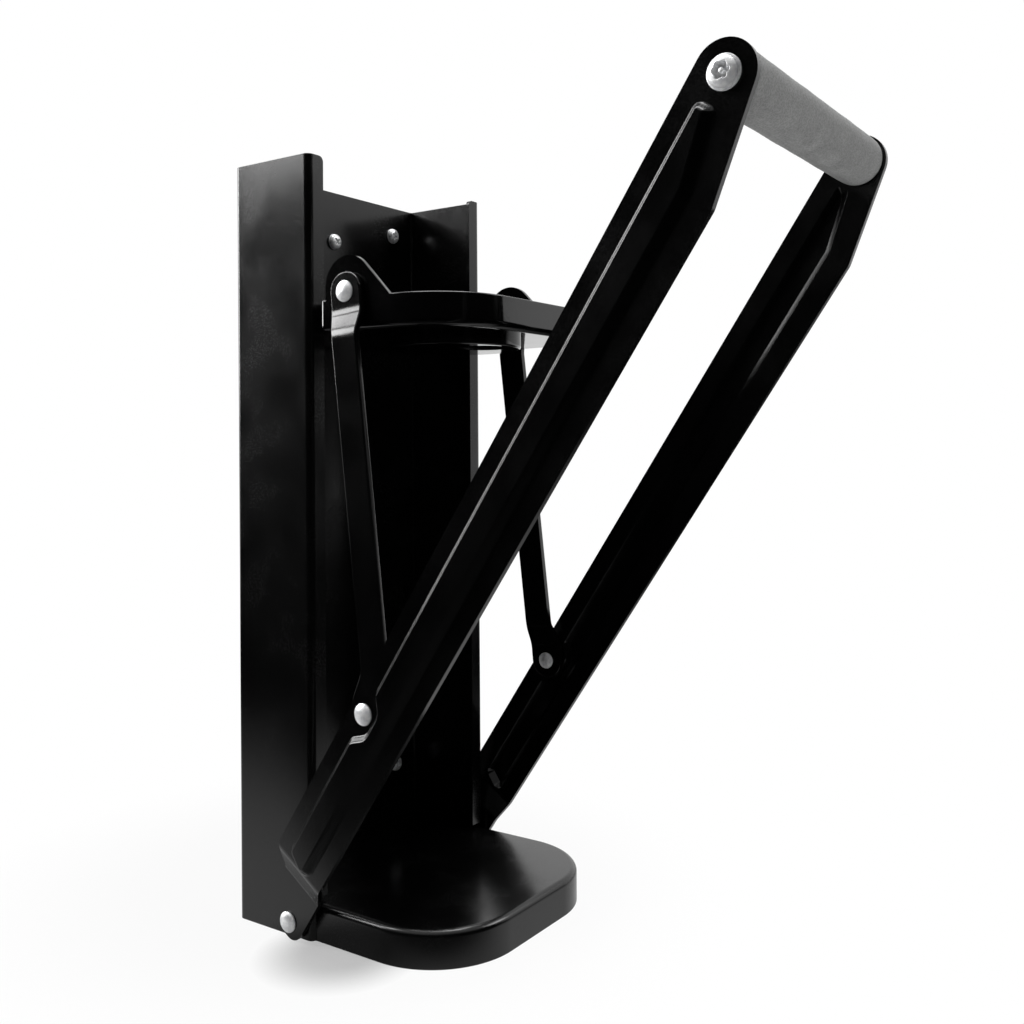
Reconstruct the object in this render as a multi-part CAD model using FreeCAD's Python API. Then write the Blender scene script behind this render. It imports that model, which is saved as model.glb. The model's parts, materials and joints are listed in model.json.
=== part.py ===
import FreeCAD, Part
import math
import os

# Wall-mounted lever can crusher. Millimetres. X to the right, Y into the wall, Z up.
# Heights are measured from the foot of the frame, and "out" is the distance in front
# of the wall. place() moves the finished pieces so that the origin is the middle of
# the wall-screw pattern, on the wall. "Reach" (w) is the distance from the mid-plane.

# frame channel: an open C of sheet steel
frame_height = 340.0
frame_width = 124.0
frame_depth = 46.6
frame_sheet = 2.0
frame_bend = 1.0
lip_width = 9.0
lip_tip_radius = 2.5
lip_above_base = 2.0

# base: a pressed cap, open downwards, riveted in the foot of the channel
base_out = 122.0
base_height = 15.8
base_sheet = 2.0
base_bend = 1.0
base_front_radius = 39.0
base_rear_radius = 4.0

# lower pivot, where the arms swing
pivot_out = 35.3
pivot_height = 7.5

# arms, in the pose at rest
arm_lean = 33.82
arm_length = 386.1
arm_sheet = 2.5
arm_joggle = 5.35
joggle_start = 19.6
joggle_end = 29.2
arm_bend = 2.5
arm_end_radius = 11.4
arm_foot_front = 8.7
arm_front = 11.5
arm_rear = 20.3
arm_corner_to_grip = 39.0
tab_end = 5.6
tab_front = 8.6
tab_rear_low = 9.2
tab_rear_high = 15.1
tab_front_radius = 5.4
tab_rear_radius = 7.5
shoulder_lead = 1.5
shoulder_low_radius = 3.0
shoulder_high_radius = 4.0
arm_foot_radius = 3.0
arm_corner_radius = 6.0
link_pin_along = 108.3
link_pin_across = 13.3

# raised panel pressed in each arm
panel_height = 3.0
panel_rear = 13.3
panel_front_low = 2.0
panel_front_high = 2.7
panel_front_taper = 4.8
panel_foot = 26.3
panel_foot_rear = 32.4
panel_to_grip = 10.5
panel_taper_length = 27.5
panel_rear_slope = 2.9
panel_front_slope = 4.2
panel_end_slope = 3.5
panel_sections = 8
panel_foot_radius = 5.0
panel_corner_radius = 12.0
panel_top_radius = 3.6
panel_root_share = 0.8
seat_half_length = 5.4
seat_slope_length = 6.2
seat_depth = 5.6
seat_radius = 5.0

# links
link_length = 174.0
link_sheet = 3.0
link_width = 13.5
link_lead_low = 4.2
link_lead_high = 1.0
link_bend = 11.0
link_low_eye_radius = 9.0
link_top_eye_radius = 8.3
link_flare_length = 16.5
link_joggle_near = 9.0
link_joggle_length = 9.4
link_neck_radius = 8.0
link_front_radius = 30.0
link_waist_radius = 5.0
link_shoulder_radius = 4.0

# ram plate: a pressed cup with two ears
ram_inset = 1.5
ram_out = 124.0
ram_clearance = 3.4
ram_depth = 14.0
ram_sheet = 2.0
ram_bend = 1.2
ram_front_radius = 34.0
ram_rear_radius = 4.0
ear_out = 69.0
ear_rise = 2.2
ear_round_out = 67.7
ear_round_rise = 5.1
ear_radius = 12.8
ear_slope_out = 90.6
boss_radius = 30.6
boss_drop = 4.5
boss_out = 77.5
boss_hole_radius = 12.0
boss_hole_out = 94.0
tongue_out = 8.0
ram_neck_radius = 2.0
ram_rim_round = 0.6

# guide shoes on the ram's tongue, behind the channel's lips
guide_height = 25.0
guide_length = 20.0
guide_side_play = 1.0
guide_play = 0.3
tongue_play = 0.5
guide_edge_radius = 1.0
guide_rivet_radius = 1.8
guide_rivet_head_radius = 3.42
guide_rivet_head_height = 1.44
guide_rivet_pitch = 10.0
guide_rivet_above_middle = 1.0
guide_rivet_sunk = 0.5

# handle grip
grip_radius = 10.8
grip_tube_radius = 7.0
grip_edge_radius = 1.2
grip_washer_radius = 9.8
grip_washer_sheet = 1.2
grip_bolt_radius = 3.0
grip_bolt_length = 22.0
grip_bolt_head_radius = 6.1
grip_bolt_head_height = 3.6

# rivets, washers and screws
rivet_radius = 3.0
rivet_head_radius = 4.5
rivet_head_height = 2.0
rivet_tail_radius = 4.0
rivet_tail_height = 1.5
stub_head_height = 1.8
washer_radius = 7.5
washer_sheet = 0.7
screw_radius = 2.1
screw_neck_radius = 2.3
screw_length = 14.0
screw_point = 3.0
screw_head_radius = 3.9
screw_head_height = 2.6
screw_hole_radius = 2.4
screw_spread = 88.0
screw_low = 45.0
screw_below_top = 15.0
centre_screw_below_top = 24.5
base_rivet_radius = 2.0
base_rivet_head_radius = 3.6
base_rivet_head_height = 1.6
base_rivet_spread = 60.0
base_rivet_height = 8.5

# shapes of the bought-in heads, as shares of their own radius or height
dome_cap_share = 0.75
pan_edge_share = 0.55
recess_width_share = 0.24
recess_reach_share = 0.55
recess_depth_share = 0.55
screw_point_share = 0.2

# drawing aids: smallest corner of a pressed outline, how full a round end is drawn
# with two corners, how far cutting tools run past a face, and the raw strip's size
least_radius = 0.5
round_end_share = 0.97
past = 1.0
strip_width = 100.0
strip_spare = 40.0

# clearances
side_play = 0.25
link_play = 0.3
running_fit = 0.06
tight_fit = 0.02
stub_gap = 0.2

# worked out from the sizes above
frame_half = frame_width / 2
lip_tip = frame_half - lip_width
screw_high = frame_height - screw_below_top
centre_screw_height = frame_height - centre_screw_below_top
pattern_mid = (screw_low + screw_high) / 2
tab_in = frame_half + washer_sheet + side_play
plate_in = tab_in + arm_joggle
plate_out = plate_in + arm_sheet
link_in = plate_in - link_play - link_sheet
ram_half = frame_half - ram_inset
eye_in = ram_half + link_play
eye_outer = eye_in + link_sheet
lean = math.radians(arm_lean)
link_pin_y = -pivot_out - link_pin_along * math.sin(lean) + link_pin_across * math.cos(lean)
link_pin_z = pivot_height + link_pin_along * math.cos(lean) + link_pin_across * math.sin(lean)
link_lean = math.asin((ear_out + link_pin_y) / link_length)
ear_z = link_pin_z + link_length * math.cos(link_lean)
ram_rim_z = ear_z - ear_rise
ram_floor_z = ram_rim_z - ram_depth
ram_back_y = -frame_depth - ram_clearance
tongue_half = lip_tip - tongue_play
guide_front_y = -frame_depth + frame_sheet + guide_play
bolt_across = arm_rear - arm_end_radius
sleeve_half = plate_in - grip_washer_sheet
arm_corner = arm_length - arm_corner_to_grip
panel_top = arm_length - panel_to_grip
panel_taper_start = panel_top - panel_taper_length


def point_xy(a, b):
    return FreeCAD.Vector(a, b, 0)


def point_xz(a, b):
    return FreeCAD.Vector(a, 0, b)


def rounded_wire(corners, to_point=point_xy):
    """Closed wire through corners (a, b, radius), each rounded by its radius."""
    starts = []
    edges = []
    count = len(corners)
    for i in range(count):
        ax, ay, _ = corners[i - 1]
        cx, cy, radius = corners[i]
        bx, by, _ = corners[(i + 1) % count]
        back = FreeCAD.Vector(ax - cx, ay - cy, 0).normalize()
        ahead = FreeCAD.Vector(bx - cx, by - cy, 0).normalize()
        half = back.getAngle(ahead) / 2
        run = radius / math.tan(half)
        corner = FreeCAD.Vector(cx, cy, 0)
        start = corner + back * run
        end = corner + ahead * run
        inward = (back + ahead).normalize()
        middle = corner + inward * (radius / math.sin(half) - radius)
        starts.append((start, middle, end))
    for i in range(count):
        start, middle, end = starts[i]
        following = starts[(i + 1) % count][0]
        points = [to_point(p.x, p.y) for p in (start, middle, end, following)]
        if start.distanceToPoint(end) > 1e-6:
            edges.append(Part.Arc(*points[:3]).toShape())
        if end.distanceToPoint(following) > 1e-6:
            edges.append(Part.makeLine(points[2], points[3]))
    return Part.Wire(edges)


def prism(corners, low, high):
    """Solid of a rounded outline in the XY plane, from one height to another."""
    wire = rounded_wire(corners)
    wire.translate(FreeCAD.Vector(0, 0, low))
    return Part.Face(wire).extrude(FreeCAD.Vector(0, 0, high - low))


def disc(radius, low, high, x=0.0, y=0.0):
    return Part.makeCylinder(radius, high - low, FreeCAD.Vector(x, y, low))


def inset(corners, shifts):
    """Anticlockwise outline with each side moved inwards; side i leaves corner i."""
    moved = []
    count = len(corners)
    for i in range(count):
        ax, ay, _ = corners[i - 1]
        cx, cy, radius = corners[i]
        bx, by, _ = corners[(i + 1) % count]
        first = FreeCAD.Vector(cx - ax, cy - ay, 0).normalize()
        second = FreeCAD.Vector(bx - cx, by - cy, 0).normalize()
        before = shifts[i - 1]
        after = shifts[i]
        turn = first.x * second.y - first.y * second.x
        level = first.dot(second)
        along = (before * level - after) / turn
        x = cx - first.y * before + first.x * along
        y = cy + first.x * before + first.y * along
        grow = -1 if turn > 0 else 1
        moved.append((x, y, max(radius + grow * (before + after) / 2, least_radius)))
    return moved


def fillet_where(shape, radius, chosen):
    """Round the edges whose bounding box passes the test."""
    edges = [edge for edge in shape.Edges if chosen(edge.BoundBox)]
    return shape.makeFillet(radius, edges)


def level_at(height):
    """Test for edges that lie flat at one height."""
    return lambda box: abs(box.ZMin - height) < 1e-3 and abs(box.ZMax - height) < 1e-3


def joggle_strip(start, fold, unfold, end, low, high, sheet, bend):
    """Wide strip of sheet that steps from one reach to another between two folds."""
    step = 1 if high > low else -1
    angle = math.atan2(abs(high - low), unfold - fold)
    shift = step * sheet * math.tan(angle / 2)
    inner = bend if step < 0 else bend + sheet
    outer = bend + sheet if step < 0 else bend
    corners = [
        (start, low, 0),
        (fold, low, inner),
        (unfold, high, outer),
        (end, high, 0),
        (end, high + sheet, 0),
        (unfold - shift, high + sheet, inner),
        (fold - shift, low + sheet, outer),
        (start, low + sheet, 0),
    ]
    wire = rounded_wire(corners, point_xz)
    wire.translate(FreeCAD.Vector(0, -strip_width / 2, 0))
    return Part.Face(wire).extrude(FreeCAD.Vector(0, strip_width, 0))


def on_left_side(shape, y, z, angle):
    """Turn local (along, across, reach) to the left side of the object."""
    sine = math.sin(angle)
    cosine = math.cos(angle)
    turned = FreeCAD.Matrix(0, 0, -1, 0, -sine, cosine, 0, y, cosine, sine, 0, z, 0, 0, 0, 1)
    placed = shape.copy()
    placed.Placement = FreeCAD.Placement(turned).multiply(shape.Placement)
    return placed


def dome(radius, height):
    """Domed rivet head standing on the XY plane: a slice of a ball, with a low rim."""
    cap = dome_cap_share * height
    ball_radius = (radius * radius + cap * cap) / (2 * cap)
    ball = Part.makeSphere(ball_radius, FreeCAD.Vector(0, 0, height - ball_radius))
    return ball.common(disc(radius, 0, height))


def pan_head(radius, height):
    """Pan head with a cross recess, standing on the XY plane."""
    body = disc(radius, 0, height)
    body = fillet_where(body, pan_edge_share * height, level_at(height))
    slot = recess_width_share * radius
    wing = recess_reach_share * radius
    depth = recess_depth_share * height
    for length, width in ((wing, slot / 2), (slot / 2, wing)):
        corner = FreeCAD.Vector(-length, -width, height - depth)
        body = body.cut(Part.makeBox(2 * length, 2 * width, height, corner))
    return body


def turned_over(shape):
    """The same piece pointing down from the XY plane."""
    turned = shape.copy()
    turned.rotate(FreeCAD.Vector(0, 0, 0), FreeCAD.Vector(1, 0, 0), 180)
    return turned


def along_x(shape, y, z, reach):
    """Stand a piece made on the XY plane on the left side, pointing outwards."""
    moved = shape.copy()
    moved.translate(FreeCAD.Vector(0, 0, reach))
    return on_left_side(moved, y, z, 0)


def side_rivet(y, z, tail, under_head, head_height, tail_height):
    """Rivet across the left side, from its tail's seat to its head's seat."""
    shank = along_x(disc(rivet_radius, 0, under_head - tail), y, z, tail)
    head = along_x(dome(rivet_head_radius, head_height), y, z, under_head)
    body = shank.fuse(head)
    if tail_height:
        body = body.fuse(along_x(turned_over(dome(rivet_tail_radius, tail_height)), y, z, tail))
    return body.removeSplitter()


def side_hole(radius, y, z, low, high):
    return along_x(disc(radius, 0, high - low), y, z, low)


def mirrored(shape):
    return shape.mirror(FreeCAD.Vector(0, 0, 0), FreeCAD.Vector(1, 0, 0))


def facing_front(shape, x, y, z):
    """Stand a piece made on the XY plane on a wall, pointing away from the wall."""
    turned = shape.copy()
    turned.rotate(FreeCAD.Vector(0, 0, 0), FreeCAD.Vector(1, 0, 0), 90)
    turned.translate(FreeCAD.Vector(x, y, z))
    return turned


def screw_places():
    high = [(-screw_spread / 2, screw_high), (screw_spread / 2, screw_high)]
    low = [(-screw_spread / 2, screw_low), (screw_spread / 2, screw_low)]
    return high + [(0, centre_screw_height)], low


def base_rivet_places():
    return [(-base_rivet_spread / 2, base_rivet_height), (base_rivet_spread / 2, base_rivet_height)]


def frame_channel():
    bend = frame_bend + frame_sheet
    outer = [
        (-frame_half, 0, bend),
        (-frame_half, -frame_depth, bend),
        (frame_half, -frame_depth, bend),
        (frame_half, 0, bend),
    ]
    wall = frame_half - frame_sheet
    inner = [
        (-wall, -frame_sheet, frame_bend),
        (-wall, -frame_depth + frame_sheet, frame_bend),
        (wall, -frame_depth + frame_sheet, frame_bend),
        (wall, -frame_sheet, frame_bend),
    ]
    body = prism(outer, 0, frame_height).cut(prism(inner, -past, frame_height + past))
    mouth = Part.makeBox(2 * lip_tip, frame_sheet + 2 * past, frame_height + 2 * past,
                         FreeCAD.Vector(-lip_tip, -frame_depth - past, -past))
    body = body.cut(mouth)
    body = fillet_where(body, lip_tip_radius, lambda box: (
        abs(box.ZMin - frame_height) < 1e-3 and abs(box.ZMax - frame_height) < 1e-3
        and abs(abs(box.XMin) - lip_tip) < 1e-3 and abs(abs(box.XMax) - lip_tip) < 1e-3))
    notch = Part.makeBox(2 * wall, frame_sheet + 2 * past, base_height + lip_above_base + past,
                         FreeCAD.Vector(-wall, -frame_depth - past, -past))
    body = body.cut(notch)
    high, low = screw_places()
    for x, z in high + low:
        body = body.cut(facing_front(disc(screw_hole_radius, -past, frame_sheet + past), x, 0, z))
    for x, z in base_rivet_places():
        hole = disc(base_rivet_radius + tight_fit, -past, frame_sheet + past)
        body = body.cut(facing_front(hole, x, 0, z))
    hole = side_hole(rivet_radius + tight_fit, -pivot_out, pivot_height, wall - past, frame_half + past)
    return body.cut(hole).cut(mirrored(hole))


def base_cap():
    half = frame_half - frame_sheet
    sides = [
        (-half, -frame_sheet, base_rear_radius),
        (-half, -base_out, base_front_radius),
        (half, -base_out, base_front_radius),
        (half, -frame_sheet, base_rear_radius),
    ]
    under = base_height - base_sheet
    outer = fillet_where(prism(sides, 0, base_height), base_bend + base_sheet, level_at(base_height))
    hollow = prism(inset(sides, [base_sheet] * 4), -past, under)
    body = outer.cut(fillet_where(hollow, base_bend, level_at(under)))
    for x, z in base_rivet_places():
        hole = disc(base_rivet_radius + tight_fit, 0, frame_sheet + base_sheet + past)
        body = body.cut(facing_front(hole, x, 0, z))
    inner = half - base_sheet
    hole = side_hole(rivet_radius + tight_fit, -pivot_out, pivot_height, inner - past, half + past)
    return body.cut(hole).cut(mirrored(hole))


def base_rivets():
    seat = frame_sheet + base_sheet
    solids = []
    for x, z in base_rivet_places():
        shank = disc(base_rivet_radius, 0, seat)
        head = dome(base_rivet_head_radius, base_rivet_head_height)
        head.translate(FreeCAD.Vector(0, 0, seat))
        solids.append(facing_front(shank.fuse(head).removeSplitter(), x, 0, z))
    return Part.makeCompound(solids)


def wall_screws(places):
    solids = []
    for x, z in places:
        shank = disc(screw_radius, screw_point - screw_length, 0)
        neck = disc(screw_neck_radius, 0, frame_sheet)
        point = Part.makeCone(screw_point_share * screw_radius, screw_radius, screw_point,
                              FreeCAD.Vector(0, 0, -screw_length))
        head = pan_head(screw_head_radius, screw_head_height)
        head.translate(FreeCAD.Vector(0, 0, frame_sheet))
        screw = shank.fuse([neck, point, head]).removeSplitter()
        solids.append(facing_front(screw, x, 0, z))
    return Part.makeCompound(solids)


def pivot_rivet():
    tail = frame_half - frame_sheet - base_sheet
    under_head = tab_in + arm_sheet + stub_gap
    return side_rivet(-pivot_out, pivot_height, tail, under_head, rivet_head_height, rivet_tail_height)


def pivot_washer():
    ring = disc(washer_radius, 0, washer_sheet)
    ring = ring.cut(disc(rivet_radius + running_fit, -past, washer_sheet + past))
    return along_x(ring, -pivot_out, pivot_height, frame_half)


def arm_outline():
    """Outline of the arm, anticlockwise in (along, across)."""
    run = arm_length - arm_corner
    rise = bolt_across + arm_front
    taper = math.atan2(rise, run) - math.asin(arm_end_radius / math.hypot(run, rise))
    tip = arm_length + arm_end_radius
    front_at_tip = -arm_front + math.tan(taper) * (tip - arm_corner)
    return [
        (-tab_end, -tab_front, tab_front_radius),
        (joggle_end, -arm_foot_front, arm_foot_radius),
        (arm_corner, -arm_front, arm_corner_radius),
        (tip, front_at_tip, arm_end_radius),
        (tip, arm_rear, arm_end_radius),
        (joggle_end + shoulder_lead, arm_rear, shoulder_high_radius),
        (joggle_start + shoulder_lead, tab_rear_high, shoulder_low_radius),
        (-tab_end, tab_rear_low, tab_rear_radius),
    ]


def panel_outline():
    """Foot of the raised panel, anticlockwise, with how far each side slopes in."""
    seat = link_pin_along
    low = panel_rear - seat_depth
    wide = seat_half_length + seat_slope_length
    corners = [
        (panel_foot, -panel_front_low, panel_foot_radius),
        (panel_taper_start, -panel_front_high, panel_corner_radius),
        (panel_top, panel_front_taper, panel_top_radius),
        (panel_top, panel_rear, panel_top_radius),
        (seat + wide, panel_rear, seat_radius),
        (seat + seat_half_length, low, seat_radius),
        (seat - seat_half_length, low, seat_radius),
        (seat - wide, panel_rear, seat_radius),
        (panel_foot_rear, panel_rear, panel_foot_radius),
    ]
    rear = panel_rear_slope
    front = panel_front_slope
    end = panel_end_slope
    slopes = [front, front, end, rear, rear, rear, rear, rear, end]
    return corners, slopes


def panel_wire(shifts, level):
    """Outline of the raised panel at a level above the arm's outer face."""
    corners, _ = panel_outline()
    wire = rounded_wire(inset(corners, shifts))
    wire.translate(FreeCAD.Vector(0, 0, plate_out + level))
    return wire


def panel_outside():
    """The pressing's outside: its walls rise in an S, from the arm's face to the crest."""
    _, slopes = panel_outline()
    wires = []
    for i in range(panel_sections + 1):
        share = i / panel_sections
        rise = share * share * (3 - 2 * share)
        wires.append(panel_wire([slope * share for slope in slopes], panel_height * rise))
    depth = panel_root_share * arm_sheet
    root = panel_wire([0] * len(slopes), -depth)
    skirt = Part.Face(root).extrude(FreeCAD.Vector(0, 0, depth))
    return skirt.fuse(Part.makeLoft(wires, True, True))


def panel_inside():
    """The pressing's inside: straight walls, one sheet away from the outside's walls."""
    _, slopes = panel_outline()
    wires = []
    for level in (-arm_sheet - past, panel_height - arm_sheet):
        shifts = []
        for slope in slopes:
            angle = math.atan2(3 * panel_height, 2 * slope)
            middle = panel_height / 2 - arm_sheet * math.cos(angle)
            shift = slope / 2 + arm_sheet * math.sin(angle)
            shifts.append(shift + (level - middle) / math.tan(angle))
        wires.append(panel_wire(shifts, level))
    return Part.makeLoft(wires, True, True)


def arm():
    strip = joggle_strip(-strip_spare, joggle_start, joggle_end, arm_length + strip_spare,
                         tab_in, plate_in, arm_sheet, arm_bend)
    blank = strip.common(prism(arm_outline(), tab_in - past, plate_out + past))
    body = blank.fuse(panel_outside()).cut(panel_inside())
    fits = [
        (0, 0, rivet_radius + running_fit),
        (link_pin_along, link_pin_across, rivet_radius + tight_fit),
        (arm_length, bolt_across, grip_bolt_radius + tight_fit),
    ]
    for along, across, radius in fits:
        body = body.cut(disc(radius, tab_in - past, plate_out + past, along, across))
    return on_left_side(body, -pivot_out, pivot_height, lean)


def arm_point(along, across):
    """Place on the arm, in the object's Y and Z."""
    y = -pivot_out - along * math.sin(lean) + across * math.cos(lean)
    z = pivot_height + along * math.cos(lean) + across * math.sin(lean)
    return y, z


def link_blank():
    """Left link without its holes; the end with the joggle is up."""
    half = link_width / 2
    low = link_low_eye_radius
    top = link_top_eye_radius
    near = link_length - link_joggle_near
    far = near - link_joggle_length
    round_low = round_end_share * low
    round_top = round_end_share * top
    corners = [
        (-low, -low, round_low),
        (low / 2, -low, link_neck_radius),
        (link_flare_length, -half - link_lead_low, link_front_radius),
        (far, -half - link_lead_high, link_waist_radius),
        (near, -top, link_shoulder_radius),
        (link_length + top, -top, round_top),
        (link_length + top, top, round_top),
        (near, top, link_shoulder_radius),
        (far, half - link_lead_high, link_waist_radius),
        (link_flare_length, half - link_lead_low, link_neck_radius),
        (low / 2, low, link_neck_radius),
        (-low, low, round_low),
    ]
    strip = joggle_strip(-strip_spare, far, near, link_length + strip_spare,
                         link_in, eye_in, link_sheet, link_bend)
    body = strip.common(prism(corners, eye_in - past, plate_in + past))
    return on_left_side(body, link_pin_y, link_pin_z, link_lean)


def link_holes():
    low = side_hole(rivet_radius + running_fit, link_pin_y, link_pin_z, eye_in - past, plate_in)
    high = side_hole(rivet_radius + tight_fit, -ear_out, ear_z, eye_in - past, plate_in)
    return [low, high]


def link_left():
    return link_blank().cut(link_holes())


def link_right():
    """The same pressing turned end for end, so that it fits the right side."""
    body = link_blank()
    middle = FreeCAD.Vector(0, (link_pin_y - ear_out) / 2, (link_pin_z + ear_z) / 2)
    body.rotate(middle, FreeCAD.Vector(1, 0, 0), 180)
    body.translate(FreeCAD.Vector(link_in + link_sheet + eye_in, 0, 0))
    return body.cut([mirrored(hole) for hole in link_holes()])


def link_rivet():
    tail = link_in - stub_gap
    return side_rivet(link_pin_y, link_pin_z, tail, plate_out, rivet_head_height, rivet_tail_height)


def ear_rivet():
    return side_rivet(-ear_out, ear_z, ram_half + stub_gap, eye_outer, stub_head_height, 0)


def ear_rivet_tail():
    inner = ram_half - ram_sheet
    shank = disc(rivet_radius, 0, ram_sheet)
    tail = shank.fuse(turned_over(dome(rivet_head_radius, rivet_tail_height))).removeSplitter()
    return along_x(tail, -ear_out, ear_z, inner)


def ram_outline():
    """Outline of the cup: wide in front of the lips, with a tongue between them."""
    return [
        (-tongue_half, -tongue_out, ram_rear_radius),
        (-tongue_half, ram_back_y, ram_neck_radius),
        (-ram_half, ram_back_y, ram_rear_radius),
        (-ram_half, -ram_out, ram_front_radius),
        (ram_half, -ram_out, ram_front_radius),
        (ram_half, ram_back_y, ram_rear_radius),
        (tongue_half, ram_back_y, ram_neck_radius),
        (tongue_half, -tongue_out, ram_rear_radius),
    ]


def ear_plate():
    """Left ear, with its round top, its straight rear edge and its slope to the rim."""
    round_z = ram_rim_z + ear_round_rise
    low = ram_floor_z + ram_bend + ram_sheet - round_z
    run = ear_slope_out - ear_round_out
    slope = math.asin(ear_radius / math.hypot(run, ear_round_rise)) + math.atan2(ear_round_rise, run)
    slope_top = (ear_radius + ear_round_rise) / math.tan(slope) - run
    corners = [
        (low, -run, 0),
        (low, ear_radius, 0),
        (ear_radius, ear_radius, ear_radius),
        (ear_radius, slope_top, ear_radius),
        (-ear_round_rise, -run, 0),
    ]
    return on_left_side(prism(corners, ram_half - ram_sheet, ram_half), -ear_round_out, round_z, 0)


def ram_plate():
    sides = ram_outline()
    floor = ram_floor_z
    outer = prism(sides, floor, ram_rim_z)
    outer = fillet_where(outer, ram_bend + ram_sheet, level_at(floor))
    cavity = prism(inset(sides, [ram_sheet] * len(sides)), floor + ram_sheet, ram_rim_z + past)
    cavity = fillet_where(cavity, ram_bend, level_at(floor + ram_sheet))
    cup = fillet_where(outer.cut(cavity), ram_rim_round, level_at(ram_rim_z))
    boss_low = floor - boss_drop
    boss = disc(boss_radius, boss_low, floor + ram_sheet / 2, 0, -boss_out)
    boss = fillet_where(boss, ram_bend, level_at(boss_low))
    hollow = disc(boss_radius - ram_sheet, boss_low + ram_sheet, ram_rim_z, 0, -boss_out)
    hollow = fillet_where(hollow, ram_bend, level_at(boss_low + ram_sheet))
    cup = cup.fuse(boss).cut(hollow)
    cup = cup.cut(disc(boss_hole_radius, boss_low - past, ram_rim_z, 0, -boss_hole_out))
    body = cup.fuse([ear_plate(), mirrored(ear_plate())])
    inner = ram_half - ram_sheet
    hole = side_hole(rivet_radius + tight_fit, -ear_out, ear_z, inner - past, ram_half + past)
    for drilled in [hole] + guide_holes():
        body = body.cut(drilled).cut(mirrored(drilled))
    return body.removeSplitter()


def guide_rivet_places():
    z = ram_rim_z - ram_depth / 2 + guide_rivet_above_middle
    middle = guide_front_y + guide_length / 2
    return [(middle - guide_rivet_pitch / 2, z), (middle + guide_rivet_pitch / 2, z)]


def guide_holes():
    radius = guide_rivet_radius + tight_fit
    inner = tongue_half - ram_sheet - past
    return [side_hole(radius, y, z, inner, frame_half) for y, z in guide_rivet_places()]


def guide_shoe():
    """Plastic block on the side of the tongue, behind the lip."""
    width = frame_half - frame_sheet - guide_side_play - tongue_half
    body = Part.makeBox(guide_height, guide_length, width)
    body = fillet_where(body, guide_edge_radius, lambda box: box.XLength > guide_height / 2)
    body.translate(FreeCAD.Vector(0, guide_front_y, tongue_half))
    body = on_left_side(body, 0, ram_floor_z, 0)
    for drilled in guide_holes():
        body = body.cut(drilled)
    return body


def guide_rivets():
    inner = tongue_half - ram_sheet
    outer = frame_half - frame_sheet - guide_side_play - guide_rivet_sunk
    solids = []
    for y, z in guide_rivet_places():
        shank = disc(guide_rivet_radius, 0, outer - inner)
        head = turned_over(dome(guide_rivet_head_radius, guide_rivet_head_height))
        rivet = along_x(shank.fuse(head).removeSplitter(), y, z, inner)
        solids.extend([rivet, mirrored(rivet)])
    return Part.makeCompound(solids)


def across_handle(shape):
    """Stand a piece made round the Z axis on the handle bolt's axis, left side."""
    y, z = arm_point(arm_length, bolt_across)
    return on_left_side(shape, y, z, 0)


def grip_sleeve():
    body = disc(grip_radius, -sleeve_half, sleeve_half)
    body = fillet_where(body, grip_edge_radius, level_at(sleeve_half))
    body = fillet_where(body, grip_edge_radius, level_at(-sleeve_half))
    bore = disc(grip_tube_radius + tight_fit, -sleeve_half - past, sleeve_half + past)
    return across_handle(body.cut(bore))


def grip_tube():
    body = disc(grip_tube_radius, -sleeve_half, sleeve_half)
    bore = disc(grip_bolt_radius + tight_fit, -sleeve_half - past, sleeve_half + past)
    return across_handle(body.cut(bore))


def grip_washer():
    body = disc(grip_washer_radius, sleeve_half, plate_in)
    bore = disc(grip_bolt_radius + running_fit, sleeve_half - past, plate_in + past)
    return across_handle(body.cut(bore))


def grip_bolt():
    shank = disc(grip_bolt_radius, plate_out - grip_bolt_length, plate_out)
    head = pan_head(grip_bolt_head_radius, grip_bolt_head_height)
    head.translate(FreeCAD.Vector(0, 0, plate_out))
    return across_handle(shank.fuse(head).removeSplitter())


def place(name, shape):
    """Move a finished piece into the object's frame and write it."""
    moved = shape.copy()
    moved.translate(FreeCAD.Vector(0, 0, -pattern_mid))
    moved.exportStep("parts/" + name + ".step")


os.makedirs("parts", exist_ok=True)

high_screws, low_screws = screw_places()
place("frame_channel", frame_channel())
place("base_cap", base_cap())
place("base_rivets", base_rivets())
place("wall_screws_top", wall_screws(high_screws))
place("wall_screws_bottom", wall_screws(low_screws))
place("ram_plate", ram_plate())
place("guide_rivets", guide_rivets())
place("grip_sleeve", grip_sleeve())
place("grip_tube", grip_tube())
place("link_left", link_left())
place("link_right", link_right())
pairs = {
    "pivot_rivet": pivot_rivet(),
    "pivot_washer": pivot_washer(),
    "arm": arm(),
    "link_rivet": link_rivet(),
    "ear_rivet": ear_rivet(),
    "ear_rivet_tail": ear_rivet_tail(),
    "grip_washer": grip_washer(),
    "grip_bolt": grip_bolt(),
    "guide_shoe": guide_shoe(),
}
for name, left in pairs.items():
    place(name + "_left", left)
    place(name + "_right", mirrored(left))
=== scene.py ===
import json
import math

import bmesh
import bpy
from mathutils import Matrix, Vector


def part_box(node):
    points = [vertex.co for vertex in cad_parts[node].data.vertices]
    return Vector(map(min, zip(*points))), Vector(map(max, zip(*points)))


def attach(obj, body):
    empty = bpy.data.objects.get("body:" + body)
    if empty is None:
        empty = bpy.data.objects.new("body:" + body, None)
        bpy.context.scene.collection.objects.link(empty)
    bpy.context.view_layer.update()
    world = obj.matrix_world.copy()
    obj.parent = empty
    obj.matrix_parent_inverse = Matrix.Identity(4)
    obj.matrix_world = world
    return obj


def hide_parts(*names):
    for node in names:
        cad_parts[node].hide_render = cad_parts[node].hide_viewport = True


# Looks for the wall-mounted can crusher. Metres. X to the right, Y into the wall, Z up.

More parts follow.
